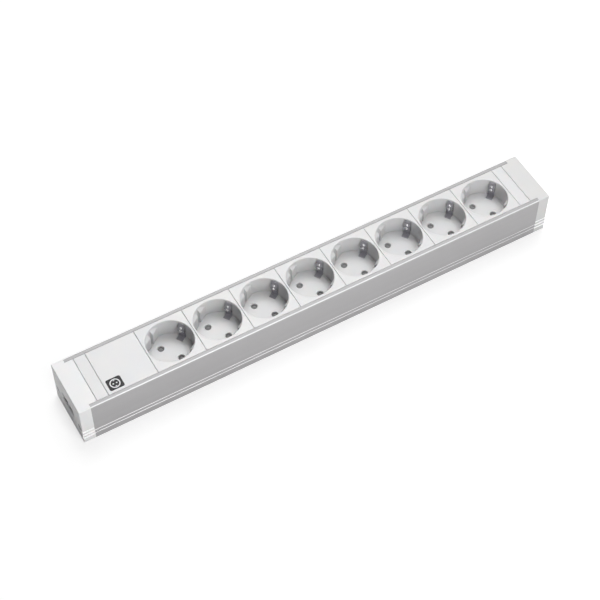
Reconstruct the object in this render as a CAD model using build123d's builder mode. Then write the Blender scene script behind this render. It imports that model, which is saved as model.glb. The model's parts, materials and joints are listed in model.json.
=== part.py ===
from build123d import *
import os
from math import cos, radians, sin

# Desk power strip: an extruded aluminium channel holding a row of drop-in
# modules (one blank cover and eight two-pole earthed sockets turned by 35 deg),
# two filler strips, two moulded end caps and the live parts inside.
#
# Frame: origin at the centre of the bottom face, +X along the strip away from
# the supply inlet, +Y to the back, +Z up.  Millimetres.

os.makedirs("parts", exist_ok=True)

# ---------------------------------------------------------- overall dimensions
length = 442.0            # over both end caps
width = 52.0              # outside width of profile and caps
height = 44.3             # bottom face to top face
half = length / 2

# Row of modules, centred on the origin
pitch = 43.0
socket_count = 8
seam = 0.2                # gap between neighbouring top modules
filler_length = 10.2
row_half = (socket_count + 1) * pitch / 2
blank_x = pitch / 2 - row_half
socket_x = [blank_x + pitch * (i + 1) for i in range(socket_count)]

# Profile
wall = 1.8
floor_thick = 2.0
lip_thick = 1.6           # top lips
lip_opening = 45.0        # clear opening between the lips
inner_half = width / 2 - wall
channel_y, channel_z = 20.6, 16.0  # screw channels
channel_radius = 3.0
cap_side = 10.3           # length of a cap's side walls
half_profile = half - cap_side

# Top modules: a plate between the lips and a flange under them
plate_width = 44.7
flange_width = 48.1
flange_top, flange_bottom = height - 1.7, height - 3.4
module_layers = (         # width, bottom, top
    (flange_width, flange_bottom, flange_top),
    (plate_width, flange_top, height),
)
seam_chamfer = 0.4        # bevel on the plate edges along each seam
edge_round = 0.3          # radius of the lengthwise edges of lips and plates

# Socket well and the mechanism under its floor
axis_angle = 35.0         # direction of the earth clips; pins are square to it
well_radius = 19.75
well_depth = 17.5
socket_floor_thick = 2.0
well_floor = height - well_depth
floor_bottom = well_floor - socket_floor_thick
pin_offset = 19.0 / 2     # half the pin spacing
shutter_thick = 2.8
shutter_top = floor_bottom - 0.1
shutter_bottom = shutter_top - shutter_thick
shutter_spring_end, shutter_far_end = 3.3, -9.6   # ends of the shutter along u
spring_stop = 12.7        # face that the return spring rests on, along u
spring_z = (shutter_top + shutter_bottom) / 2
retainer_top = shutter_bottom - 0.15
retainer_bottom = retainer_top - 2.0

# Live parts
bow_thick = 0.6
bow_z = retainer_bottom - 1.55            # middle of the earth bow's strip
earth_bar_thick = 1.05
earth_bar_bottom = bow_z - bow_thick / 2 - 0.05 - earth_bar_thick
rivet_hole_radius = 1.55
busbar_bottom, busbar_thick = 3.1, 0.8

# Supply inlet, centred on y = 0
inlet_z = 21.5
inlet_width, inlet_height, inlet_radius = 21.0, 10.6, 2.0
inlet_pin_y, inlet_pin_z = 6.5, inlet_z - 0.3
inlet_pin_radius = 1.25
blade_width, blade_height = 1.5, 6.2

# A socket's own directions: u along the clips, v along the pins
cos_axis, sin_axis = cos(radians(axis_angle)), sin(radians(axis_angle))
u_dir, v_dir = (cos_axis, sin_axis, 0), (-sin_axis, cos_axis, 0)
uv_plane = Plane(origin=(0, 0, 0), x_dir=u_dir, z_dir=(0, 0, 1))
uz_plane = Plane(origin=(0, 0, 0), x_dir=u_dir, z_dir=(sin_axis, -cos_axis, 0))
vz_plane = Plane(origin=(0, 0, 0), x_dir=v_dir, z_dir=u_dir)
pin_places = ((0, pin_offset), (0, -pin_offset))
peg_places = ((0, 16.6), (0, -16.6))
pin_contact_y = pin_offset * cos_axis     # of the line pins; neutral is at -y


# --------------------------------------------------------------------- helpers
def save(part, name):
    part.label = name
    export_step(part, f"parts/{name}.step")


def both_sides(across, along=0):
    """Two places mirrored in the first coordinate."""
    return (across, along), (-across, along)


def on_u_axis(u, z):
    return (cos_axis * u, sin_axis * u, z)


def end_outline(sketch):
    """Draw the rounded outer section shared by the profile and the caps."""
    Rectangle(width, height, align=(Align.CENTER, Align.MIN))
    fillet(sketch.vertices().group_by(Axis.Y)[0], 0.8)
    fillet(sketch.vertices().group_by(Axis.Y)[-1], 1.0)


def cut_side_lines(heights, size, depth):
    """Cut decorative lines into both sides: square upper edge, sloping lower flank."""
    for z in heights:
        for side in (1, -1):
            y = side * width / 2
            points = [
                (y + side * 0.2, z + size / 2),
                (y - side * depth, z + size / 2 - 0.08),
                (y - side * depth, z + size / 2 - 0.28),
                (y + side * 0.2, z - size / 2),
            ]
            if side > 0:
                points.reverse()
            Polygon(*points, align=None, mode=Mode.SUBTRACT)


def top_edges(builder, x_range=(-half, half)):
    edges = builder.edges().filter_by_position(Axis.Z, height - 0.01, height + 0.01)
    return edges.filter_by_position(Axis.X, *x_range)


def soften_plate(builder, x_range=(-half, half)):
    """Bevel a plate's top edges along the seams, then round the lengthwise ones."""
    chamfer(top_edges(builder, x_range).filter_by(Axis.Y), seam_chamfer)
    fillet(top_edges(builder, x_range).filter_by(Axis.X), edge_round)


def mirrored_copy(part):
    with BuildPart() as copy:
        add(part)
        mirror(about=Plane.YZ, mode=Mode.REPLACE)
    return copy.part


# ------------------------------------------------------------- housing profile
def make_housing_profile():
    ledge_width, ledge_thick = 1.6, 1.2   # rails the module flanges ride on
    ledge_z = height - 3.5 - ledge_thick / 2
    overlap = 0.4                         # of rails and webs into the walls
    slot_length = channel_radius + 0.8
    with BuildPart() as profile:
        with BuildSketch(Plane.YZ.offset(-half_profile)) as section:
            end_outline(section)
            with Locations((0, floor_thick)):
                Rectangle(2 * inner_half, height - floor_thick - lip_thick,
                          align=(Align.CENTER, Align.MIN), mode=Mode.SUBTRACT)
            with Locations((0, height - lip_thick - 1)):
                Rectangle(lip_opening, lip_thick + 2, align=(Align.CENTER, Align.MIN),
                          mode=Mode.SUBTRACT)
            with Locations(*both_sides(inner_half - (ledge_width - overlap) / 2, ledge_z)):
                Rectangle(ledge_width + overlap, ledge_thick)
            # screw channels, joined to the walls by webs and slotted inwards
            with Locations(*both_sides(channel_y, channel_z)):
                Circle(channel_radius)
            with Locations(*both_sides((channel_y + inner_half) / 2 + overlap, channel_z)):
                Rectangle(inner_half - channel_y, 3.0)
            with Locations(*both_sides(channel_y, channel_z)):
                Circle(1.6, mode=Mode.SUBTRACT)
            with Locations(*both_sides(channel_y - slot_length / 2, channel_z)):
                Rectangle(slot_length, 1.4, mode=Mode.SUBTRACT)
            # low ribs along the inside of the floor
            with Locations(*both_sides(20.2, floor_thick)):
                Rectangle(1.2, 2.4, align=(Align.CENTER, Align.MIN))
            cut_side_lines(heights=(11.3, 7.2), size=1.3, depth=0.95)
        extrude(amount=2 * half_profile)
        # soft inner edges of the lips
        lip_edges = (
            profile.edges()
            .filter_by(Axis.X)
            .filter_by_position(Axis.Z, height - 0.01, height + 0.01)
            .filter_by_position(Axis.Y, -lip_opening / 2 - 0.05, lip_opening / 2 + 0.05)
        )
        fillet(lip_edges, edge_round)
    return profile.part


# -------------------------------------------------- blank cover, filler strips
def make_cover(x, size, framed):
    """Plate and flange, with a frame and thin rib or only a thick rib below."""
    frame_width, frame_wall = 40, 1.6
    rib_length = 38
    with BuildPart() as cover:
        for layer_width, bottom, top in module_layers:
            with BuildSketch(Plane.XY.offset(bottom)):
                with Locations((x, 0)):
                    Rectangle(size - seam, layer_width)
            extrude(amount=top - bottom)
        soften_plate(cover)
        with BuildSketch(Plane.XY.offset(flange_bottom)):
            with Locations((x, 0)):
                if framed:
                    frame_length = size - seam - 4
                    Rectangle(frame_length, frame_width)
                    Rectangle(frame_length - 2 * frame_wall, frame_width - 2 * frame_wall,
                              mode=Mode.SUBTRACT)
                    Rectangle(1.6, rib_length)
                else:
                    Rectangle(3.0, rib_length)
        extrude(amount=-4.0)
    return cover.part


# --------------------------------------------------------------- socket insert
def make_guide_pads():
    """Flat segments beside the pins, with sloping tops and a keyway each."""
    pad_v = 17.0                          # flat face of a pad
    groove_width, groove_depth = 3.8, 2.7
    slope_v = (pad_v - 1.0, well_radius + 0.7)
    with BuildPart() as pads:
        with BuildSketch(uv_plane.offset(well_floor - 0.2)):
            Circle(well_radius + 0.4)
            Rectangle(60, 2 * pad_v, mode=Mode.SUBTRACT)
            for side in (1, -1):
                with Locations((0, side * (pad_v + 1.15))):
                    Rectangle(groove_width, groove_depth, mode=Mode.SUBTRACT)
        extrude(amount=well_depth - 0.7)
        with BuildSketch(vz_plane):
            for side in (1, -1):
                with BuildLine():
                    Polyline(
                        (side * slope_v[0], height - 5.9), (side * slope_v[1], height - 0.1),
                        (side * slope_v[1], height + 2), (side * slope_v[0], height + 2),
                        close=True,
                    )
                make_face()
        extrude(amount=14, both=True, mode=Mode.SUBTRACT)
    return pads.part


def make_insert():
    cup_radius = 20.95                    # outside of the well's wall
    pin_hole_radius = 2.7
    guide_pads = make_guide_pads()
    with BuildPart() as insert:
        # flange and top plate around the well, entry radius, soft plate edges
        for layer_width, bottom, top in module_layers:
            with BuildSketch(Plane.XY.offset(bottom)):
                Rectangle(pitch - seam, layer_width)
                Circle(well_radius, mode=Mode.SUBTRACT)
            extrude(amount=top - bottom)
        fillet(top_edges(insert).filter_by(GeomType.CIRCLE), 0.8)
        soften_plate(insert)
        # wall of the well, bosses behind the clip pockets, floor
        with BuildSketch(Plane.XY.offset(floor_bottom)):
            Circle(cup_radius)
            Circle(well_radius, mode=Mode.SUBTRACT)
        extrude(amount=flange_bottom - floor_bottom + 0.3)
        with BuildSketch(uv_plane.offset(floor_bottom)):
            with Locations(*both_sides(20.3)):
                Rectangle(2.7, 8.6)
            Circle(well_radius + 0.6, mode=Mode.SUBTRACT)
        extrude(amount=flange_bottom - floor_bottom)
        with BuildSketch(Plane.XY.offset(floor_bottom)):
            Circle(well_radius + 0.3)
        extrude(amount=socket_floor_thick)
        add(guide_pads)
        # pockets for the earth clips: a slot down the wall and one through the floor
        with BuildSketch(uv_plane.offset(floor_bottom - 1)):
            with Locations(*both_sides(19.2)):
                Rectangle(2.6, 6.4)
        extrude(amount=height - 1.3 - floor_bottom + 1, mode=Mode.SUBTRACT)
        with BuildSketch(uv_plane.offset(floor_bottom - 1)):
            with Locations(*both_sides(16.9)):
                Rectangle(6.2, 6.0)
        extrude(amount=socket_floor_thick + 2, mode=Mode.SUBTRACT)
        # pin holes with a small entry chamfer
        with Locations(uv_plane.offset(well_floor).location):
            with Locations(*pin_places):
                Hole(radius=pin_hole_radius, depth=socket_floor_thick + 1)
        pin_edges = insert.edges().filter_by(
            lambda edge: edge.geom_type == GeomType.CIRCLE
            and abs(edge.radius - pin_hole_radius) < 0.01
            and abs(edge.center().Z - well_floor) < 0.01)
        chamfer(pin_edges, 0.35)
        # heat-staked pegs for the shutter retainer
        with BuildSketch(uv_plane.offset(floor_bottom)):
            with Locations(*peg_places):
                Circle(1.2)
        extrude(amount=-(floor_bottom - retainer_bottom + 0.3))
    return insert.part


# --------------------------------------------- shutter, its retainer and spring
def make_shutter():
    travel = 5.8                          # brings the round windows over the pins
    with BuildPart() as shutter:
        with BuildSketch(uv_plane.offset(shutter_bottom)):
            with Locations(((shutter_spring_end + shutter_far_end) / 2, 0)):
                Rectangle(shutter_spring_end - shutter_far_end, 26.0)
            with Locations((-travel, pin_offset), (-travel, -pin_offset)):
                Circle(2.95, mode=Mode.SUBTRACT)
            with Locations((-travel - 0.6, 0)):
                Rectangle(4.4, 6.5, mode=Mode.SUBTRACT)
        extrude(amount=shutter_thick)
        # ramps that the pin tips push against
        for side in (1, -1):
            with BuildSketch(uz_plane.offset(side * pin_offset)):
                with BuildLine():
                    Polyline((-4.2, shutter_top + 0.2), (-4.2, shutter_bottom + 0.6),
                             (-2.9, shutter_bottom + 0.6), (1.4, shutter_top + 0.2),
                             close=True)
                make_face()
            extrude(amount=3.1, both=True, mode=Mode.SUBTRACT)
        # spigot that centres the return spring
        with BuildSketch(Plane(origin=on_u_axis(shutter_spring_end - 0.2, spring_z),
                               x_dir=v_dir, z_dir=u_dir)):
            Circle(0.8)
        extrude(amount=1.7)
    return shutter.part


def make_retainer():
    stop_thick, stop_gap = 0.7, 0.25
    with BuildPart() as retainer:
        with BuildSketch(uv_plane.offset(retainer_bottom)):
            Circle(19.4)
            Rectangle(26.8, 60, mode=Mode.INTERSECT)
            with Locations(*pin_places):
                Circle(3.0, mode=Mode.SUBTRACT)
            with Locations(*peg_places):
                Circle(1.25, mode=Mode.SUBTRACT)
        extrude(amount=retainer_top - retainer_bottom)
        # guide rails beside the shutter and a stop beyond each end of its travel
        with BuildSketch(uv_plane.offset(retainer_top)):
            Rectangle(25.0, 29.2)
            Rectangle(30.0, 26.4, mode=Mode.SUBTRACT)
            with Locations((spring_stop + stop_thick / 2, 0),
                           (shutter_far_end - stop_gap - stop_thick / 2, 0)):
                Rectangle(stop_thick, 9.0)
        extrude(amount=shutter_top - retainer_top)
    return retainer.part


def make_spring():
    coil_length = spring_stop - shutter_spring_end - 0.6
    turns = 6.0
    with BuildPart() as spring:
        with BuildLine() as coil:
            Helix(pitch=coil_length / turns, height=coil_length, radius=1.12,
                  center=on_u_axis(shutter_spring_end + 0.25, spring_z), direction=u_dir)
        with BuildSketch(Plane(origin=coil.line @ 0, z_dir=coil.line % 0)):
            Circle(0.18)
        sweep(is_frenet=True)
    return spring.part


# -------------------------------------------- earth bow: strip bent into clips
def make_bow():
    foot_z = well_floor - 0.38
    right_side = [                        # u, z of the strip's middle line
        (14.35, bow_z), (14.35, foot_z), (19.45, foot_z), (19.45, foot_z + 6.1),
        (16.6, foot_z + 9.1), (18.2, foot_z + 10.8), (17.5, foot_z + 12.2),
        (19.5, foot_z + 14.8), (19.5, foot_z + 16.3),
    ]
    left_side = [(-u, z) for u, z in reversed(right_side)]
    domes = ((17.15, 9.1, 1.3), (18.0, 12.2, 1.2))   # u, height above foot, radius
    with BuildPart() as bow:
        with BuildSketch(uz_plane):
            with BuildLine():
                FilletPolyline(*(left_side + right_side), radius=0.45)
            trace(line_width=bow_thick)
        extrude(amount=5.5 / 2, both=True)
        # contact domes pressed out of the two ridges of each clip
        for side in (1, -1):
            for u, rise, radius in domes:
                with Locations(on_u_axis(side * u, foot_z + rise)):
                    Sphere(radius)
        with Locations((0, 0, bow_z + 1)):
            Hole(radius=rivet_hole_radius, depth=2)
    return bow.part


# ---------------------------------------------------------------- contact tray
def make_tray():
    x_start, x_end = -160.0, 190.0
    x_middle, tray_length = (x_start + x_end) / 2, x_end - x_start
    tray_width, side_thick = 35.0, 1.2
    base_bottom, base_thick = floor_thick + 0.05, 1.0
    base_top = base_bottom + base_thick
    side_y = (tray_width - side_thick) / 2
    walls = (                             # y places, thickness, height
        ((side_y, -side_y), side_thick, 9.0),
        ((0,), 2.4, 12.0),
    )
    with BuildPart() as tray:
        with BuildSketch(Plane.XY.offset(base_bottom)):
            with Locations((x_middle, 0)):
                Rectangle(tray_length, tray_width)
        extrude(amount=base_thick)
        for y_places, thickness, wall_height in walls:
            with BuildSketch(Plane.XY.offset(base_top)):
                with Locations(*[(x_middle, y) for y in y_places]):
                    Rectangle(tray_length, thickness)
            extrude(amount=wall_height)
        # posts between the modules, up to the earth bar
        with BuildSketch(Plane.XY.offset(base_top)):
            with Locations(*[(x - pitch / 2, 0) for x in socket_x]):
                Rectangle(5.0, 4.0)
        extrude(amount=earth_bar_bottom - 0.1 - base_top)
    return tray.part


# --------------------------------------------------------- busbars and rivets
def make_busbar(side):
    """Line (side 1) or neutral (side -1) bar with a pair of leaves at each pin."""
    leaf = [                              # distance from the bar's centre line, z
        (3.1, 3.5), (3.1, 9.6), (2.35, 14.6), (3.3, retainer_bottom - 0.85),
    ]
    leaf_length = 6.0
    bar_y = side * pin_contact_y
    contact_x = [x - side * pin_offset * sin_axis for x in socket_x]
    bar_start, bar_end = -166.0, contact_x[-1] + 6.0
    with BuildPart() as busbar:
        with BuildSketch(Plane.XY.offset(busbar_bottom)):
            with Locations(((bar_start + bar_end) / 2, bar_y)):
                Rectangle(bar_end - bar_start, 6.8)
        extrude(amount=busbar_thick)
        for x in contact_x:
            with BuildSketch(Plane.YZ.offset(x - leaf_length / 2)):
                for leaf_side in (1, -1):
                    with BuildLine():
                        FilletPolyline(*[(bar_y + leaf_side * y, z) for y, z in leaf],
                                       radius=1.0)
                    trace(line_width=0.6)
            extrude(amount=leaf_length)
    return busbar.part


def make_earth_bar():
    bar_start, bar_end = -164.0, 184.0
    with BuildPart() as bar:
        with BuildSketch(Plane.XY.offset(earth_bar_bottom)):
            with Locations(((bar_start + bar_end) / 2, 0)):
                Rectangle(bar_end - bar_start, 5.0)
            with Locations(*[(x, 0) for x in socket_x]):
                Circle(rivet_hole_radius, mode=Mode.SUBTRACT)
        extrude(amount=earth_bar_thick)
    return bar.part


def make_rivets():
    # bottom and top from the earth bar's underside, radius
    steps = ((-0.85, -0.05, 2.3), (-0.05, 1.75, 1.5), (1.75, 2.45, 2.3))
    with BuildPart() as rivets:
        for bottom, top, radius in steps:
            with BuildSketch(Plane.XY.offset(earth_bar_bottom + bottom)):
                with Locations(*[(x, 0) for x in socket_x]):
                    Circle(radius)
            extrude(amount=top - bottom)
    return rivets.part


# -------------------------------------------------------- end caps and screws
cap_wall = 2.5            # end wall of a cap


def make_cap():
    """Cap at the inlet end, without the inlet opening."""
    side_wall, roof = 2.2, 2.0
    root = 0.5                            # of tabs and bosses into the end wall
    inside_length = cap_side - cap_wall + root
    tongue_root = 2.0
    tongue_reach = half_profile - row_half - filler_length - seam / 2
    with BuildPart() as cap:
        with BuildSketch(Plane.YZ.offset(-half)) as outline:
            end_outline(outline)
            cut_side_lines(heights=(14.6, 10.45, 6.4), size=2.2, depth=1.4)
        extrude(amount=cap_side - 0.05)
        end_edges = cap.edges().filter_by_position(Axis.X, -half - 0.01, -half + 0.01)
        fillet(end_edges.filter_by_position(Axis.Z, height - 2, height + 1), 0.5)
        # hollow inside
        with BuildSketch(Plane.YZ.offset(-half + cap_wall)):
            with Locations((0, side_wall)):
                Rectangle(width - 2 * side_wall, height - side_wall - roof,
                          align=(Align.CENTER, Align.MIN))
        extrude(amount=cap_side, mode=Mode.SUBTRACT)
        # tongue over the end of the profile, between and under its lips
        with BuildSketch(Plane.YZ.offset(-half_profile - tongue_root)):
            with Locations((0, flange_top - 0.2)):
                Rectangle(plate_width, height - flange_top + 0.2,
                          align=(Align.CENTER, Align.MIN))
            with Locations((0, flange_bottom)):
                Rectangle(lip_opening - 1.0, flange_top - flange_bottom,
                          align=(Align.CENTER, Align.MIN))
        extrude(amount=tongue_root + tongue_reach)
        with BuildSketch(Plane.YZ.offset(-half_profile + 0.1)):
            with Locations((0, flange_bottom)):
                Rectangle(flange_width, flange_top - flange_bottom,
                          align=(Align.CENTER, Align.MIN))
        extrude(amount=tongue_reach - 0.1)
        soften_plate(cap, x_range=(-half_profile + 0.1, -half_profile + 8))
        # side tabs and bottom tab inside the profile
        with BuildSketch(Plane.YZ.offset(-half + cap_wall - root)):
            for side in (1, -1):
                with Locations((side * 23.1, 20.6)):
                    Rectangle(1.9, 16.8, align=(Align.CENTER, Align.MIN))
            with Locations((0, floor_thick + 0.1)):
                Rectangle(32.0, 1.6, align=(Align.CENTER, Align.MIN))
        extrude(amount=inside_length + 4.5)
        # screw bosses and countersunk holes
        with BuildSketch(Plane.YZ.offset(-half + cap_wall - root)):
            with Locations(*both_sides(channel_y, channel_z)):
                Circle(3.6)
        extrude(amount=inside_length - 0.1)
        for side in (1, -1):
            with Locations(Plane(origin=(-half, side * channel_y, channel_z),
                                 x_dir=(0, 1, 0), z_dir=(-1, 0, 0))):
                CounterSinkHole(radius=2.05, counter_sink_radius=3.45, depth=cap_side + 1,
                                counter_sink_angle=90)
    return cap.part


def make_inlet_cap(plain_cap):
    clearance = 0.15                      # around the inlet body
    with BuildPart() as cap:
        add(plain_cap)
        with BuildSketch(Plane.YZ.offset(-half - 1)):
            with Locations((0, inlet_z)):
                RectangleRounded(inlet_width + 2 * clearance, inlet_height + 2 * clearance,
                                 inlet_radius + clearance)
        extrude(amount=cap_wall + 2, mode=Mode.SUBTRACT)
    return cap.part


def make_screw_pair():
    # half section of a screw: distance from the head's face, radius
    outline = ((0, 0), (0, 3.2), (1.65, 1.55), (17.0, 1.55), (18.5, 0))
    head_x = -half + 0.12
    with BuildPart() as screw:
        with BuildSketch(Plane.XZ):
            with BuildLine():
                Polyline(*outline, close=True)
            make_face()
        revolve(axis=Axis.X)
        # cross recess
        with BuildSketch(Plane.YZ):
            Rectangle(3.4, 0.8)
            Rectangle(0.8, 3.4)
        extrude(amount=1.2, mode=Mode.SUBTRACT)
    with BuildPart() as pair:
        with Locations((head_x, channel_y, channel_z), (head_x, -channel_y, channel_z)):
            add(screw.part)
    return pair.part


# ---------------------------------------------------------------- supply inlet
# Flat three-pole inlet for a plug-in supply lead, in the end cap: two round
# pins and a leading flat earth blade between them.
def make_inlet_body():
    front, back = -half + 0.25, -203.0
    recess_wall, recess_depth = 1.3, 11.0
    bore_slack = 0.05
    with BuildPart() as body:
        with BuildSketch(Plane.YZ.offset(front)):
            with Locations((0, inlet_z)):
                RectangleRounded(inlet_width, inlet_height, inlet_radius)
        extrude(amount=back - front)
        with BuildSketch(Plane.YZ.offset(front)):
            with Locations((0, inlet_z)):
                RectangleRounded(inlet_width - 2 * recess_wall,
                                 inlet_height - 2 * recess_wall, 1.0)
        extrude(amount=recess_depth, mode=Mode.SUBTRACT)
        # collar behind the cap wall
        with BuildSketch(Plane.YZ.offset(-half + cap_wall + 0.1)):
            with Locations((0, inlet_z)):
                Rectangle(inlet_width + 4.0, inlet_height + 4.0)
                RectangleRounded(inlet_width - 1.0, inlet_height - 1.0, 1.2,
                                 mode=Mode.SUBTRACT)
        extrude(amount=1.6)
        # coding ribs along the top of the recess
        with BuildSketch(Plane.YZ.offset(front + 1.0)):
            with Locations(*both_sides(2.75, inlet_z + inlet_height / 2 - 1.7)):
                Rectangle(1.2, 1.2)
        extrude(amount=recess_depth)
        # bores for the pins and the blade
        with BuildSketch(Plane.YZ.offset(back - 8)):
            with Locations(*both_sides(inlet_pin_y, inlet_pin_z)):
                Circle(inlet_pin_radius + bore_slack)
            with Locations((0, inlet_pin_z)):
                Rectangle(blade_width + 2 * bore_slack, blade_height + 2 * bore_slack)
        extrude(amount=12, mode=Mode.SUBTRACT)
    return body.part


def make_inlet_pins():
    pin_tip, blade_tip, rear = -217.8, -220.6, -198.0
    with BuildPart() as pins:
        with BuildSketch(Plane.YZ.offset(pin_tip)):
            with Locations(*both_sides(inlet_pin_y, inlet_pin_z)):
                Circle(inlet_pin_radius)
        extrude(amount=rear - pin_tip)
        chamfer(pins.edges().filter_by(GeomType.CIRCLE).group_by(Axis.X)[0], 0.4)
        with BuildSketch(Plane.YZ.offset(blade_tip)):
            with Locations((0, inlet_pin_z)):
                Rectangle(blade_width, blade_height)
        extrude(amount=rear - blade_tip)
        tip_edges = pins.edges().filter_by_position(
            Axis.X, blade_tip - 0.01, blade_tip + 0.01)
        chamfer(tip_edges, 0.3)
    return pins.part


# ----------------------------------------------------------------------- wires
wire_radius = 1.3
wire_rise = wire_radius + 0.06            # wire's centre line above its bar
busbar_wire_z = busbar_bottom + busbar_thick + wire_rise
earth_wire_z = earth_bar_bottom + earth_bar_thick + wire_rise
wire_routes = (           # name, y at the inlet, start of the straight end, x at its end
    ("wire_line", inlet_pin_y, (-166.5, pin_contact_y, busbar_wire_z), -159.0),
    ("wire_neutral", -inlet_pin_y, (-166.5, -pin_contact_y, busbar_wire_z), -159.0),
    ("wire_earth", 0, (-165.5, 0, earth_wire_z), -157.0),
)


def make_wire(inlet_y, bar_point, end_x):
    start = (-197.8, inlet_y, inlet_pin_z)
    with BuildPart() as wire:
        with BuildLine():
            Spline(start, bar_point, tangents=((1, 0, 0), (1, 0, 0)))
            Line(bar_point, (end_x, bar_point[1], bar_point[2]))
        with BuildSketch(Plane(origin=start, z_dir=(1, 0, 0))):
            Circle(wire_radius)
        sweep()
    return wire.part


# -------------------------------------------------------- build and save it all
save(make_housing_profile(), "housing_profile")

filler_x = row_half + filler_length / 2
save(make_cover(blank_x, pitch, framed=True), "blank_cover")
save(make_cover(-filler_x, filler_length, framed=False), "filler_strip_inlet")
save(make_cover(filler_x, filler_length, framed=False), "filler_strip_far")

# one copy of each socket piece for each socket
socket_pieces = (
    ("socket_insert", make_insert()),
    ("shutter", make_shutter()),
    ("shutter_retainer", make_retainer()),
    ("shutter_spring", make_spring()),
    ("earth_bow", make_bow()),
)
for number, x in enumerate(socket_x, 1):
    for name, piece in socket_pieces:
        with BuildPart() as placed:
            with Locations((x, 0, 0)):
                add(piece)
        save(placed.part, f"{name}_{number}")

save(make_tray(), "contact_tray")
save(make_busbar(1), "busbar_line")
save(make_busbar(-1), "busbar_neutral")
save(make_earth_bar(), "busbar_earth")
save(make_rivets(), "earth_bow_rivets")

plain_cap = make_cap()
save(make_inlet_cap(plain_cap), "end_cap_inlet")
save(mirrored_copy(plain_cap), "end_cap_closed")

screw_pair = make_screw_pair()
save(screw_pair, "end_cap_screws_inlet")
save(mirrored_copy(screw_pair), "end_cap_screws_far")

save(make_inlet_body(), "inlet_body")
save(make_inlet_pins(), "inlet_pins")
for name, inlet_y, bar_point, end_x in wire_routes:
    save(make_wire(inlet_y, bar_point, end_x), name)
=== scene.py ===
"""Desk power strip with eight sockets, an inlet cap and a closed cap.

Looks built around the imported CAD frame. Metres, +Z up, the strip lies along X.
The camera looks from -X, -Y and above, so the -X end is the near one.
"""
import json
import math

import bpy
import bmesh
import numpy as np
from mathutils import Matrix, Vector


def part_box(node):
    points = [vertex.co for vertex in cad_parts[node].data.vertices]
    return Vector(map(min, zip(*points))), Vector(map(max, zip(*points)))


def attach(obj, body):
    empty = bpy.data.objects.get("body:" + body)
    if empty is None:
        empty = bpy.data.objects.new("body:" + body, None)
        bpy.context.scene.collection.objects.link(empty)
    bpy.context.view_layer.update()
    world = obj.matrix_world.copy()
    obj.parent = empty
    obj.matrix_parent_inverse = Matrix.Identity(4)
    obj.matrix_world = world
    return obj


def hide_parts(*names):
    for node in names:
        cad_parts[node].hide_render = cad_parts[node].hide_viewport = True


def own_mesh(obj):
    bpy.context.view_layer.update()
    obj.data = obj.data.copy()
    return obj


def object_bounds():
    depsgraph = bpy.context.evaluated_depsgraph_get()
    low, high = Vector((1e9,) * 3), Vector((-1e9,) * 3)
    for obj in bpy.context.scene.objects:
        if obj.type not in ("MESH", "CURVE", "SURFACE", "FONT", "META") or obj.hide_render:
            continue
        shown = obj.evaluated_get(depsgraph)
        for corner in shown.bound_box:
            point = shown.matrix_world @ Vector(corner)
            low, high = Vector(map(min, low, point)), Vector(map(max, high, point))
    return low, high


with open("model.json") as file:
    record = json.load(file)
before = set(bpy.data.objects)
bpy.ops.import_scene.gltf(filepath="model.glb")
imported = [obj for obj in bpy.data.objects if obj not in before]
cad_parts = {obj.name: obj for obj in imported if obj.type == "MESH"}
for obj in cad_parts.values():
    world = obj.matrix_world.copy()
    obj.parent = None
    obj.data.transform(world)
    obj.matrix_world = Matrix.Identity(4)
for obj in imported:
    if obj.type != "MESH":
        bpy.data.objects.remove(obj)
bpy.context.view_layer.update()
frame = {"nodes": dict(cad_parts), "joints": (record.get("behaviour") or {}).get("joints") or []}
nodes = frame["nodes"]

MM = 0.001
SOCKETS = 8
CRISP_CAD = math.radians(28)     # edges sharper than this stay crisp on CAD pieces
CRISP_WIRE = math.radians(40)    # the same on wires


def add_object(name, data):
    item = bpy.data.objects.new(name, data)
    bpy.context.scene.collection.objects.link(item)
    return item


def box_centre(name):
    low, high = (np.array(corner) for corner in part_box(name))
    return (low + high) / 2


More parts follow.
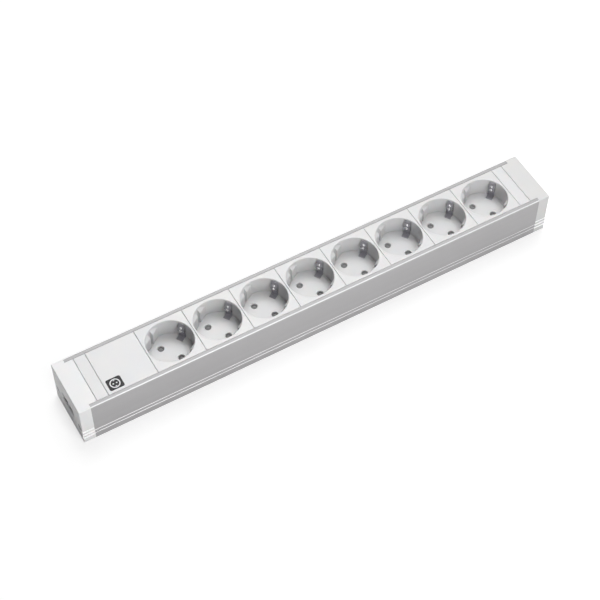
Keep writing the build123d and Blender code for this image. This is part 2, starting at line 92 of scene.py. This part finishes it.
# ------------------------------------------------------------ shader helper
class Shader:
    """A material around one Principled node. Values may be numbers, colours or sockets."""

    SOCKET_NAMES = {
        "color": "Base Color", "metal": "Metallic", "rough": "Roughness", "normal": "Normal",
        "spec": "Specular IOR Level", "sss": "Subsurface Weight", "sss_scale": "Subsurface Scale",
        "glow_color": "Emission Color", "glow": "Emission Strength",
    }

    def __init__(self, name):
        self.material = bpy.data.materials.new(name)
        self.material.use_nodes = True
        self.tree = self.material.node_tree
        self.tree.nodes.clear()
        self.output = self.node("OutputMaterial")
        self.surface = self.node("BsdfPrincipled")
        self.put(self.output.inputs[0], self.surface.outputs[0])
        self.place = self.node("TexCoord").outputs["Object"]

    def node(self, kind, inputs=None, **settings):
        node = self.tree.nodes.new("ShaderNode" + kind)
        for key, value in settings.items():
            setattr(node, key, value)
        for key, value in (inputs or {}).items():
            self.put(node.inputs[key], value)
        return node

    def put(self, socket, value):
        """Link a socket, or set a number, vector or RGB colour."""
        if hasattr(value, "is_output"):
            self.tree.links.new(value, socket)
        else:
            socket.default_value = (*value, 1) if socket.type == "RGBA" else value

    def set(self, **values):
        for key, value in values.items():
            self.put(self.surface.inputs[self.SOCKET_NAMES[key]], value)
        return self.material

    def math(self, operation, *terms):
        return self.node("Math", dict(enumerate(terms)), operation=operation).outputs[0]

    def coords(self, scale=(1, 1, 1), rotation=(0, 0, 0)):
        """Object coordinates: CAD nodes sit at the origin, so these are metres on the strip."""
        inputs = {"Scale": scale, "Rotation": rotation, "Vector": self.place}
        return self.node("Mapping", inputs).outputs["Vector"]

    def split(self, vector):
        return self.node("SeparateXYZ", {0: vector}).outputs

    def noise(self, vector, detail, rough, scale=1.0, distort=0.0):
        inputs = {"Scale": scale, "Detail": detail, "Roughness": rough, "Distortion": distort,
                  "Vector": vector}
        return self.node("TexNoise", inputs).outputs["Fac"]

    def ramp(self, value, over, to=(0, 1)):
        """Linear map of a value from one range to another, clamped."""
        inputs = {"From Min": over[0], "From Max": over[1], "To Min": to[0], "To Max": to[1],
                  "Value": value}
        return self.node("MapRange", inputs).outputs["Result"]

    def mix(self, factor, first, second, blend="MIX"):
        inputs = {0: factor, 6: first, 7: second}     # 6 and 7 are the colour sockets
        return self.node("Mix", inputs, data_type="RGBA", blend_type=blend).outputs[2]

    def multiply(self, color, by):
        return self.mix(1.0, color, by, blend="MULTIPLY")

    def grey(self, value):
        return self.node("CombineColor", {0: value, 1: value, 2: value}).outputs[0]

    def bump(self, height, strength, distance, under=None):
        inputs = {"Strength": strength, "Distance": distance, "Height": height}
        if under is not None:
            inputs["Normal"] = under
        return self.node("Bump", inputs).outputs["Normal"]

    def edge_wear(self):
        """0 on flats, up to 1 on convex edges."""
        pointiness = self.node("NewGeometry").outputs["Pointiness"]
        return self.ramp(pointiness, over=(0.51, 0.51 + 1.0 / 6.0))

    def groove_flanks(self, y, z, box, skin, height, depth):
        """1 in the side grooves. Pairs in mm: skin and depth in from the side, height up."""
        side, base = box[1][1], box[0][2]
        inside = self.ramp(y, over=[side - gap * MM for gap in skin], to=(1, 0))
        low = self.ramp(z, over=[base + rise * MM for rise in height], to=(1, 0))
        shallow = self.ramp(y, over=[side - gap * MM for gap in depth])
        return self.math("MULTIPLY", inside, self.math("MULTIPLY", low, shallow))


def toned(color, factors):
    return tuple(channel * factor for channel, factor in zip(color, factors))


# ---------------------------------------------------------- material makers
def cap_painted_light(mat, color, box, side_shade):
    """Painted highlights on the groove flanks and painted shade on the outer side faces of an end
    cap, found by place.
    """
    place = mat.split(mat.coords())
    y, z = mat.math("ABSOLUTE", place[1]), place[2]
    flanks = mat.groove_flanks(y, z, box, skin=(0.12, 0.05), height=(15.9, 16.0),
                               depth=(1.6, 1.5))
    side = mat.ramp(y, over=(box[1][1] - 0.05 * MM, box[1][1] - 0.02 * MM))
    # painted shade: the outer side faces darker by the given factor
    color = mat.mix(side, color, mat.multiply(color, (side_shade,) * 3))
    # painted highlight: the groove flanks lighter
    color = mat.mix(flanks, color, (0.985, 0.985, 0.985))
    # painted highlight: the groove flanks also glow faintly
    mat.set(glow_color=(1, 1, 1), glow=mat.math("MULTIPLY", flanks, 0.11))
    return color


def white_plastic(name, tint, rough, grain, turn=0.0, cap_box=None, side_shade=1.0):
    """Moulded plastic: fine grain, slow flow marks, polished edges, painted shade in corners.

    turn rotates the noise, so that parts differ; cap_box adds the end cap's painted highlights
    and shade.
    """
    mat = Shader(name)
    vector = mat.coords(rotation=(turn, 0.3 * turn, 0.1))
    flow = mat.noise(vector, scale=38.0, detail=3, rough=0.5, distort=0.6)
    fine = mat.noise(vector, scale=2600.0, detail=2, rough=0.6)
    middle = mat.noise(vector, scale=420.0, detail=3, rough=0.55)

    warm = toned(tint, (1.004, 0.999, 0.985))
    cool = toned(tint, (0.978, 0.982, 0.99))
    color = mat.mix(mat.ramp(flow, over=(0.35, 0.65)), warm, cool)
    # painted shade: darker in tight corners, from ambient occlusion
    corners = mat.node("AmbientOcclusion", {"Distance": 1.2 * MM}, samples=6, only_local=True)
    corner_shade = mat.ramp(corners.outputs["AO"], over=(0.25, 0.9), to=(0.90, 1.0))
    color = mat.multiply(color, mat.grey(corner_shade))
    if cap_box:
        color = cap_painted_light(mat, color, cap_box, side_shade)

    # painted shade in the deep wells: light already bounced off the plastic carries on weaker,
    # most so at -X
    bounced = mat.node("LightPath").outputs["Is Diffuse Ray"]
    along = mat.split(mat.coords())[0]
    weaker = mat.grey(mat.ramp(along, over=(-0.14, 0.18), to=(0.60, 0.80)))
    color = mat.mix(bounced, color, mat.multiply(color, weaker))

    gloss = mat.math("ADD", mat.ramp(middle, over=(0.3, 0.7), to=(rough - 0.03, rough + 0.05)),
                     mat.ramp(flow, over=(0.3, 0.7), to=(-0.02, 0.03)))
    gloss = mat.math("SUBTRACT", gloss, mat.math("MULTIPLY", mat.edge_wear(), 0.06))
    normal = mat.bump(fine, strength=0.10 * grain, distance=0.00004)
    normal = mat.bump(middle, strength=0.05 * grain, distance=0.00006, under=normal)
    return mat.set(color=color, rough=gloss, normal=normal, spec=0.5, sss=0.06, sss_scale=0.001)


def grey_plastic(name, tint, rough):
    mat = Shader(name)
    vector = mat.coords()
    flow = mat.noise(vector, scale=60.0, detail=3, rough=0.5, distort=0.5)
    fine = mat.noise(vector, scale=2200.0, detail=2, rough=0.6)
    color = mat.mix(mat.ramp(flow, over=(0.3, 0.7)), tint, toned(tint, (0.88,) * 3))
    gloss = mat.ramp(fine, over=(0.3, 0.7), to=(rough - 0.06, rough + 0.08))
    normal = mat.bump(fine, strength=0.14, distance=0.00005)
    return mat.set(color=color, rough=gloss, normal=normal, spec=0.45)


def aluminium(name, box):
    """Satin anodised extrusion: die lines along X, etched grain and slow tone drift.

    Painted highlights on its top corners and groove flanks are found by their place on the
    section.
    """
    low, high = box
    mat = Shader(name)
    vector = mat.coords()
    place = mat.split(vector)
    y, z = mat.math("ABSOLUTE", place[1]), place[2]
    die = mat.noise(mat.coords(scale=(0.9, 900, 900)), detail=5, rough=0.6)
    die_wide = mat.noise(mat.coords(scale=(0.5, 160, 160)), detail=3, rough=0.5)
    etch = mat.noise(vector, scale=3400.0, detail=2, rough=0.65)
    drift = mat.noise(mat.coords(scale=(6, 40, 40)), detail=2, rough=0.5)
    color = mat.mix(mat.ramp(die, over=(0.3, 0.7)), (0.462, 0.455, 0.462), (0.492, 0.485, 0.492))
    color = mat.mix(mat.ramp(drift, over=(0.3, 0.7), to=(0.0, 0.35)), color,
                    (0.440, 0.435, 0.441))

    # within a millimetre of the outer top edges
    corner = mat.math("MULTIPLY",
                      mat.ramp(y, over=(high[1] - 0.9 * MM, high[1] - 0.5 * MM)),
                      mat.ramp(z, over=(high[2] - 1.05 * MM, high[2] - 0.75 * MM)))
    flanks = mat.groove_flanks(y, z, box, skin=(0.10, 0.04), height=(12.4, 12.5),
                               depth=(1.2, 1.1))
    # painted highlight: lighter groove flanks
    color = mat.mix(flanks, color, (0.90, 0.895, 0.90))
    # painted highlight on the corner, brighter towards +X
    corner_highlight = mat.mix(mat.ramp(place[0], over=(low[0], high[0])), (0.84, 0.84, 0.845),
                     (0.99, 0.99, 0.995))
    color = mat.mix(corner, color, corner_highlight)

    gloss = mat.math("ADD", mat.ramp(die_wide, over=(0.3, 0.7), to=(0.50, 0.57)),
                     mat.ramp(etch, over=(0.3, 0.7), to=(-0.03, 0.04)))
    gloss = mat.math("SUBTRACT", gloss, mat.math("MULTIPLY", corner, 0.09))
    normal = mat.bump(die, strength=0.12, distance=0.00003)
    normal = mat.bump(etch, strength=0.12, distance=0.00003, under=normal)
    metallic = mat.math("SUBTRACT", 0.35, mat.math("MULTIPLY", corner, 0.05))
    return mat.set(color=color, metal=metallic, rough=gloss, normal=normal, spec=0.3)


def dome_polish_and_highlight(mat, vector, color, gloss, first, pitch, domes):
    """Painted highlights on the contact domes, also polished smoother, alike in every socket and
    mirrored through its axis.
    """
    place = mat.split(vector)
    sockets = mat.math("DIVIDE", mat.math("SUBTRACT", place[0], first), pitch)
    within = mat.math("FRACT", mat.math("ADD", sockets, 0.5))
    x = mat.math("MULTIPLY", mat.math("SUBTRACT", within, 0.5), pitch)
    side = mat.math("SIGN", place[1])
    local = mat.node("CombineXYZ", {
        0: mat.math("MULTIPLY", x, side),
        1: mat.math("ABSOLUTE", place[1]),
        2: place[2],
    }).outputs[0]
    for centre, radius in domes:
        gap = mat.node("VectorMath", {0: local, 1: centre}, operation="DISTANCE")
        # painted highlight: each dome lighter in colour, and smoother
        dome_highlight_mask = mat.ramp(gap.outputs["Value"], over=(radius, radius + 0.25 * MM), to=(1, 0))
        color = mat.mix(dome_highlight_mask, color, (0.97, 0.97, 0.98))
        gloss = mat.math("SUBTRACT", gloss, mat.math("MULTIPLY", dome_highlight_mask, 0.10))
    return color, gloss


def metal(name, tint, rough, grain=None, stain=None, metallic=1.0, dome_highlights=None):
    """Blotched metal. grain stretches the brushing; the last argument holds the arguments for
    painted highlights on the contact domes.
    """
    mat = Shader(name)
    vector = mat.coords()
    brush = mat.noise(mat.coords(scale=grain or (1, 1, 1)), scale=1.0 if grain else 1200.0,
                      detail=4, rough=0.6)
    blot = mat.noise(vector, scale=260.0, detail=4, rough=0.6, distort=0.4)
    color = mat.mix(mat.ramp(blot, over=(0.42, 0.72), to=(0, 0.6)), tint,
                    stain or toned(tint, (0.72,) * 3))
    gloss = mat.math("ADD", mat.ramp(blot, over=(0.3, 0.7), to=(rough - 0.05, rough + 0.09)),
                     mat.ramp(brush, over=(0.3, 0.7), to=(-0.03, 0.05)))
    normal = mat.bump(brush, strength=0.15, distance=0.00003)
    if dome_highlights:
        color, gloss = dome_polish_and_highlight(mat, vector, color, gloss, **dome_highlights)
    return mat.set(color=color, metal=metallic, rough=gloss, normal=normal)


def wire_skin(name, tint, stripe=None):
    """Wire insulation, with an optional second colour twisted round it."""
    axis_height = 0.0169     # centre of the twist above the origin
    twist = 160.0            # radians per metre along X
    mat = Shader(name)
    vector = mat.coords()
    fine = mat.noise(vector, scale=1500.0, detail=3, rough=0.6)
    ring = mat.noise(mat.coords(scale=(700, 30, 30)), detail=2, rough=0.5)
    color = mat.mix(mat.ramp(fine, over=(0.3, 0.7)), tint, toned(tint, (0.85,) * 3))
    if stripe:
        place = mat.split(vector)
        angle = mat.math("ARCTAN2", place[1], mat.math("SUBTRACT", place[2], axis_height))
        turn = mat.math("ADD", angle, mat.math("MULTIPLY", place[0], twist))
        wave = mat.math("SINE", turn)
        color = mat.mix(mat.ramp(wave, over=(-0.06, 0.06)), color, stripe)
    gloss = mat.ramp(ring, over=(0.3, 0.7), to=(0.34, 0.46))
    normal = mat.bump(ring, strength=0.1, distance=0.00005)
    return mat.set(color=color, rough=gloss, normal=normal, spec=0.5)


def ink(name):
    mat = Shader(name)
    vector = mat.coords()
    fine = mat.noise(vector, scale=3000.0, detail=3, rough=0.6)
    blot = mat.noise(vector, scale=500.0, detail=3, rough=0.6)
    color = mat.mix(mat.ramp(blot, over=(0.35, 0.7)), (0.018, 0.017, 0.019),
                    (0.035, 0.033, 0.036))
    gloss = mat.ramp(fine, over=(0.3, 0.7), to=(0.42, 0.6))
    normal = mat.bump(fine, strength=0.12, distance=0.00002)
    return mat.set(color=color, rough=gloss, normal=normal, spec=0.4)


# ---------------------------------------------------------------- materials
bow_x = [float(box_centre(f"earth_bow_{i}")[0]) for i in (1, 2)]
bow_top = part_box("earth_bow_1")[1][2]
CLIP_TURN = math.radians(35.0)     # plan direction of the clips


def dome(reach, drop, radius):
    """Centre and radius of a contact dome, from the socket axis and the bow's top; mm."""
    centre = (reach * MM * math.cos(CLIP_TURN), reach * MM * math.sin(CLIP_TURN),
              bow_top - drop * MM)
    return centre, radius * MM


# painted highlights on the two contact domes of each earth clip
clip_dome_highlights = {
    "first": bow_x[0],
    "pitch": bow_x[1] - bow_x[0],
    "domes": [dome(reach=17.15, drop=7.2, radius=1.25), dome(reach=18.0, drop=4.1, radius=1.15)],
}
materials = {
    # painted light and shade: both caps are one plastic, painted lighter on the near cap and
    # darker on the far one; the side factors paint shade on their side faces
    "cap": white_plastic("cap_plastic", (0.94, 0.94, 0.942), rough=0.40, grain=1.1, turn=0.7,
                         cap_box=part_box("end_cap_inlet"), side_shade=0.89),
    "cap_far": white_plastic("cap_plastic_far_shaded", (0.78, 0.78, 0.782), rough=0.40, grain=1.1,
                             turn=2.3, cap_box=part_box("end_cap_closed"), side_shade=0.84),
    "insert": white_plastic("socket_plastic", (0.802, 0.802, 0.807), rough=0.33, grain=0.8),
    "cover": white_plastic("cover_plastic", (0.815, 0.815, 0.825), rough=0.36, grain=1.0,
                           turn=1.9),
    "alu": aluminium("anodised_extrusion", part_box("housing_profile")),
    "shutter": grey_plastic("shutter_plastic", (0.38, 0.38, 0.385), rough=0.45),
    "tray": grey_plastic("tray_plastic", (0.36, 0.36, 0.37), rough=0.55),
    "clip": metal("nickel_strip", (0.54, 0.53, 0.575), rough=0.30, stain=(0.42, 0.41, 0.45),
                  metallic=0.5, dome_highlights=clip_dome_highlights),
    "spring": metal("spring_wire", (0.52, 0.52, 0.54), rough=0.25, grain=(300, 4000, 4000)),
    "brass": metal("rolled_brass", (0.72, 0.52, 0.22), rough=0.30, grain=(4, 2500, 2500),
                   stain=(0.42, 0.27, 0.10)),
    "pin": metal("nickel_pin", (0.90, 0.90, 0.92), rough=0.28, grain=(30, 2500, 2500),
                 stain=(0.70, 0.70, 0.72), metallic=0.55),
    "zinc": metal("zinc_steel", (0.60, 0.60, 0.62), rough=0.32, stain=(0.40, 0.40, 0.43)),
    "inlet": grey_plastic("inlet_plastic", (0.86, 0.86, 0.865), rough=0.42),
    "brown": wire_skin("wire_brown", (0.16, 0.06, 0.025)),
    "blue": wire_skin("wire_blue", (0.03, 0.12, 0.45)),
    "green_yellow": wire_skin("wire_green_yellow", (0.09, 0.32, 0.05),
                              stripe=(0.75, 0.62, 0.03)),
    "ink": ink("printed_ink"),
}

# CAD node: material
node_materials = {
    "housing_profile": "alu", "end_cap_inlet": "cap", "end_cap_closed": "cap_far",
    "filler_strip_inlet": "cover", "filler_strip_far": "cover", "blank_cover": "cover",
    "end_cap_screws_inlet": "zinc", "end_cap_screws_far": "zinc", "contact_tray": "tray",
    "busbar_line": "brass", "busbar_neutral": "brass", "busbar_earth": "brass",
    "earth_bow_rivets": "brass", "inlet_body": "inlet", "inlet_pins": "pin",
    "wire_line": "brown", "wire_neutral": "blue", "wire_earth": "green_yellow",
}
# the same for the nodes numbered by socket
socket_materials = {
    "socket_insert": "insert", "shutter": "shutter", "shutter_retainer": "tray",
    "earth_bow": "clip", "shutter_spring": "spring",
}
for i in range(1, SOCKETS + 1):
    for stem, material in socket_materials.items():
        node_materials[f"{stem}_{i}"] = material
for node_name, material in node_materials.items():
    slots = nodes[node_name].data.materials
    slots.clear()
    slots.append(materials[material])


def shade_smooth(mesh, crisp):
    mesh.polygons.foreach_set("use_smooth", [True] * len(mesh.polygons))
    mesh.set_sharp_from_angle(angle=crisp)


for item in nodes.values():
    shade_smooth(item.data, CRISP_CAD)


# ----------------------------------------------------------- return springs
WIRE_RADIUS = 0.18 * MM
WIRE_SIDES = 10
SPRING_SPAN = 9.0 * MM
TURNS = 8.0
STEPS = 220
CLOSED_TURNS = 0.8         # nearly flat turns at each end
CLOSED_RISE = 0.42 * MM    # length those turns take up
END_GAP = 0.28 * MM        # from the wire's centre line to the end of the span


def tube(name, path, radius, sides, material):
    """Round wire with pointed ends, along a polyline that doesn't start out vertical."""
    path = np.asarray(path, float)
    tangents = np.gradient(path, axis=0)
    tangents /= np.linalg.norm(tangents, axis=1)[:, None]
    across = np.cross(tangents[0], (0.0, 0.0, 1.0))
    across /= np.linalg.norm(across)
    angles = np.linspace(0, 2 * math.pi, sides, endpoint=False)
    verts, faces = [], []
    for point, tangent in zip(path, tangents):
        across = across - np.dot(across, tangent) * tangent
        across /= np.linalg.norm(across)
        upright = np.cross(tangent, across)
        for angle in angles:
            verts.append(point + radius * (math.cos(angle) * across + math.sin(angle) * upright))
    for i in range(len(path) - 1):
        for k in range(sides):
            here, beside = i * sides + k, i * sides + (k + 1) % sides
            faces.append((here, beside, beside + sides, here + sides))
    for ring, end, outward in ((0, 0, -1), ((len(path) - 1) * sides, -1, 1)):
        tip = len(verts)
        verts.append(path[end] + outward * tangents[end] * radius * 0.5)
        for k in range(sides):
            here, beside = ring + k, ring + (k + 1) % sides
            faces.append((beside, here, tip) if ring == 0 else (here, beside, tip))
    mesh = bpy.data.meshes.new(name)
    mesh.from_pydata([tuple(vert) for vert in verts], [], faces)
    mesh.validate()
    item = add_object(name, mesh)
    mesh.materials.append(materials[material])
    shade_smooth(mesh, CRISP_WIRE)
    return item


def coil(centre, axis, radius):
    """Helix with closed end turns and open turns between."""
    upright = np.array([0.0, 0.0, 1.0])
    across = np.cross(axis, upright)
    open_rise = SPRING_SPAN - 2 * (CLOSED_RISE + END_GAP)
    points = []
    for k in range(STEPS + 1):
        turn = TURNS * k / STEPS
        start = min(turn, CLOSED_TURNS) / CLOSED_TURNS
        middle = np.clip((turn - CLOSED_TURNS) / (TURNS - 2 * CLOSED_TURNS), 0, 1)
        finish = max(0.0, turn - TURNS + CLOSED_TURNS) / CLOSED_TURNS
        along = CLOSED_RISE * (start + finish) + open_rise * middle
        angle = 2 * math.pi * turn
        points.append(centre + axis * (along - SPRING_SPAN / 2 + END_GAP)
                      + radius * (math.cos(angle) * upright + math.sin(angle) * across))
    return points


def return_spring(i, joint):
    """Spring of one socket, along the axis of its shutter's slide."""
    axis = np.array(joint["axis"], float)
    axis /= np.linalg.norm(axis)
    low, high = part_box(f"shutter_spring_{i}")
    centre = box_centre(f"shutter_spring_{i}")
    # a coil's box isn't centred on its axis, which passes through the middle of the socket
    socket = np.array([*box_centre(f"earth_bow_{i}")[:2], centre[2]])
    centre = socket + axis * np.dot(centre - socket, axis)
    radius = (high[2] - low[2]) / 2 - WIRE_RADIUS
    spring = tube(f"return_spring_{i}", coil(centre, axis, radius), WIRE_RADIUS, WIRE_SIDES,
                  "spring")
    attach(spring, "strip")
    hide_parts(f"shutter_spring_{i}")
    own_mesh(spring)


joint_of = {joint["child"]: joint for joint in frame["joints"]}
for i in range(1, SOCKETS + 1):
    return_spring(i, joint_of[f"shutter_{i}"])


# --------------------------------------------------------- cover pictogram
def rounded(x, y, width, height, radius, steps):
    """Rounded rectangle round a centre; steps are per corner."""
    points = []
    for side_x, side_y, start in ((1, 1, 0), (-1, 1, 90), (-1, -1, 180), (1, -1, 270)):
        for k in range(steps + 1):
            angle = math.radians(start + 90 * k / steps)
            points.append((x + side_x * (width / 2 - radius) + radius * math.cos(angle),
                           y + side_y * (height / 2 - radius) + radius * math.sin(angle)))
    return points


def circle(x, y, radius, steps):
    angles = [2 * math.pi * k / steps for k in range(steps)]
    return [(x + radius * math.cos(angle), y + radius * math.sin(angle)) for angle in angles]


def printed(name, loops, z, thick, material):
    """Flat ink: nested outlines filled by the even-odd rule, as a thin closed sheet."""
    curve = bpy.data.curves.new(name, "CURVE")
    curve.dimensions = "2D"
    curve.fill_mode = "BOTH"
    curve.extrude = thick / 2
    for loop in loops:
        spline = curve.splines.new("POLY")
        spline.points.add(len(loop) - 1)
        for point, (x, y) in zip(spline.points, loop):
            point.co = (x, y, 0, 1)
        spline.use_cyclic_u = True
    sheet = add_object(name + "_tmp", curve)
    sheet.location = (0, 0, z + thick / 2)
    bpy.context.view_layer.update()
    depsgraph = bpy.context.evaluated_depsgraph_get()
    mesh = bpy.data.meshes.new_from_object(sheet.evaluated_get(depsgraph))
    mesh.transform(sheet.matrix_world)
    bpy.data.objects.remove(sheet)
    bm = bmesh.new()
    bm.from_mesh(mesh)
    bmesh.ops.remove_doubles(bm, verts=bm.verts, dist=1e-6)
    bmesh.ops.recalc_face_normals(bm, faces=bm.faces)
    bm.to_mesh(mesh)
    bm.free()
    mesh.name = name
    mesh.materials.clear()
    mesh.materials.append(materials[material])
    return add_object(name, mesh)


def cover_pictogram():
    """The face of a round two-pin socket, printed on the blank cover."""
    low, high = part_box("blank_cover")
    x, y = low[0] + 8.9 * MM, low[1] + 9.3 * MM
    pin_gap = 1.45 * MM     # pin holes from the centre, along X
    bar_gap = 2.75 * MM     # short bars from the centre, along Y
    loops = [
        rounded(x, y, width=12.6 * MM, height=11.0 * MM, radius=1.5 * MM, steps=10),
        circle(x, y, radius=4.35 * MM, steps=72),
        circle(x, y, radius=3.45 * MM, steps=72),
    ]
    for side in (-1, 1):
        loops.append(circle(x + side * pin_gap, y, radius=0.62 * MM, steps=32))
    for side in (1, -1):
        loops.append(rounded(x, y + side * bar_gap, width=1.5 * MM, height=0.7 * MM,
                             radius=0.1 * MM, steps=3))
    icon = printed("cover_pictogram", loops, z=high[2] + 0.004 * MM, thick=0.03 * MM,
                   material="ink")
    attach(icon, "strip")


cover_pictogram()


# -------------------------------------------------------------------- floor
FLOOR_REACH = 4.0       # centre to edge
FLOOR_DROP = 0.0002     # below the strip's lowest point


def floor_material():
    """Pale paper. The camera sees it run into the white backdrop; other rays see it matt."""
    mat = Shader("floor_paper")
    vector = mat.coords()
    soft = mat.noise(vector, scale=3.0, detail=2, rough=0.5)
    fine = mat.noise(vector, scale=400.0, detail=3, rough=0.5)
    lit = mat.mix(mat.ramp(soft, over=(0.3, 0.7)), (0.93, 0.93, 0.93), (0.945, 0.945, 0.945))
    seen = mat.multiply(lit, (0.64, 0.64, 0.64))
    camera_ray = mat.node("LightPath").outputs["Is Camera Ray"]
    mat.set(color=mat.mix(camera_ray, lit, seen), spec=0.1,
            rough=mat.ramp(fine, over=(0.3, 0.7), to=(0.75, 0.85)),
            normal=mat.bump(fine, strength=0.02, distance=0.0001))

    # the paper fades into an unshaded white away from the strip, and partly beyond its -X end,
    # where this painted light lifts the strip's shadow
    x, y = mat.split(vector)[:2]
    distance = mat.math("SQRT", mat.math("ADD", mat.math("MULTIPLY", x, x),
                                         mat.math("MULTIPLY", y, y)))
    backdrop = mat.node("Emission", {0: (1, 1, 1)})
    shadow_lift_beyond_end = mat.ramp(x, over=(-0.232, -0.216), to=(1, 0))
    fade = mat.math("MAXIMUM", mat.ramp(distance, over=(0.30, 0.75)),
                    mat.math("MULTIPLY", shadow_lift_beyond_end, 0.7))
    # the camera also sees the paper backlit, so shadows stay light
    backlight = mat.node("Emission", {0: mat.mix(camera_ray, (0, 0, 0), (0.56, 0.56, 0.56))})
    paper = mat.node("AddShader", {0: mat.surface.outputs[0], 1: backlight.outputs[0]})
    shader = mat.node("MixShader", {
        0: mat.math("MULTIPLY", fade, camera_ray),
        1: paper.outputs[0],
        2: backdrop.outputs[0],
    })
    mat.put(mat.output.inputs[0], shader.outputs[0])
    return mat.material


def build_floor():
    mesh = bpy.data.meshes.new("floor")
    bm = bmesh.new()
    bmesh.ops.create_grid(bm, x_segments=8, y_segments=8, size=FLOOR_REACH)
    bm.to_mesh(mesh)
    bm.free()
    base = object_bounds()[0][2]
    floor = add_object("floor", mesh)
    floor.location = (0, 0, base - FLOOR_DROP)
    mesh.materials.append(floor_material())


build_floor()


# --------------------------------------------------------- world and lights
def build_world():
    """White to the camera, a faint fill to everything else."""
    world = bpy.data.worlds.new("studio")
    bpy.context.scene.world = world
    world.use_nodes = True
    tree = world.node_tree
    background = tree.nodes["Background"]
    background.inputs[0].default_value = (1, 1, 1, 1)
    path = tree.nodes.new("ShaderNodeLightPath")
    strength = tree.nodes.new("ShaderNodeMapRange")
    strength.inputs["To Min"].default_value = 0.06     # light it gives
    strength.inputs["To Max"].default_value = 1.0      # what the camera sees
    tree.links.new(path.outputs["Is Camera Ray"], strength.inputs["Value"])
    tree.links.new(strength.outputs["Result"], background.inputs[1])


build_world()

AIM = (0, 0, 0.02)
LIGHT_DISTANCE = 2.4


def around(azimuth, elevation):
    """A place round the aim, in degrees: azimuth 0 is +X, 90 is +Y."""
    turn, rise = math.radians(azimuth), math.radians(elevation)
    direction = Vector((math.cos(rise) * math.cos(turn), math.cos(rise) * math.sin(turn),
                        math.sin(rise)))
    return tuple(Vector(AIM) + LIGHT_DISTANCE * direction)


# name, place, target, diameter in metres, power in watts
LIGHTS = [
    ("key_high", around(40, 68), AIM, 1.3, 21.8),
    ("fill_back_right", around(45, 42), AIM, 1.3, 4.0),
    ("fill_back", around(90, 42), AIM, 1.3, 5.5),
    ("fill_front", around(270, 42), AIM, 1.3, 9.1),
    ("top_front", around(272, 62), AIM, 0.9, 7.5),
    ("near_back", (0.05, 0.5, 0.8), (0.015, 0, 0.02), 0.4, 1.35),
    ("low_front", (0.0, -0.85, 0.3), AIM, 0.4, 2.7),
]
for name, place, target, diameter, power in LIGHTS:
    light = bpy.data.lights.new(name, "AREA")
    light.shape = "DISK"
    light.size = diameter
    light.energy = power
    lamp = add_object(name, light)
    lamp.location = place
    facing = (Vector(place) - Vector(target)).to_track_quat("Z", "Y")
    lamp.rotation_euler = facing.to_euler()

# ---------------------------------------------------------- camera and view
# the camera's own axes in the strip's frame
CAMERA_AXES = (
    (0.86888816, -0.49499645, 0.00344585),     # right
    (0.39924436, 0.70489183, 0.58628616),      # up
    (-0.29263852, -0.50804136, 0.8100967),     # back, away from the view
)
lens = bpy.data.cameras.new("camera")
lens.sensor_fit = "HORIZONTAL"
lens.sensor_width = 36.0
lens.lens = 93.928
lens.clip_start = 0.05
lens.clip_end = 20
pose = Matrix(CAMERA_AXES).transposed().to_4x4()
pose.translation = Vector((-0.39116, -0.66276, 1.07512))
camera = bpy.data.objects.new("camera", lens)
camera.matrix_world = pose
bpy.context.scene.collection.objects.link(camera)
bpy.context.scene.camera = camera

view = bpy.context.scene.view_settings
view.view_transform = "Standard"
view.look = "None"
view.exposure = 0.0
view.gamma = 1.0
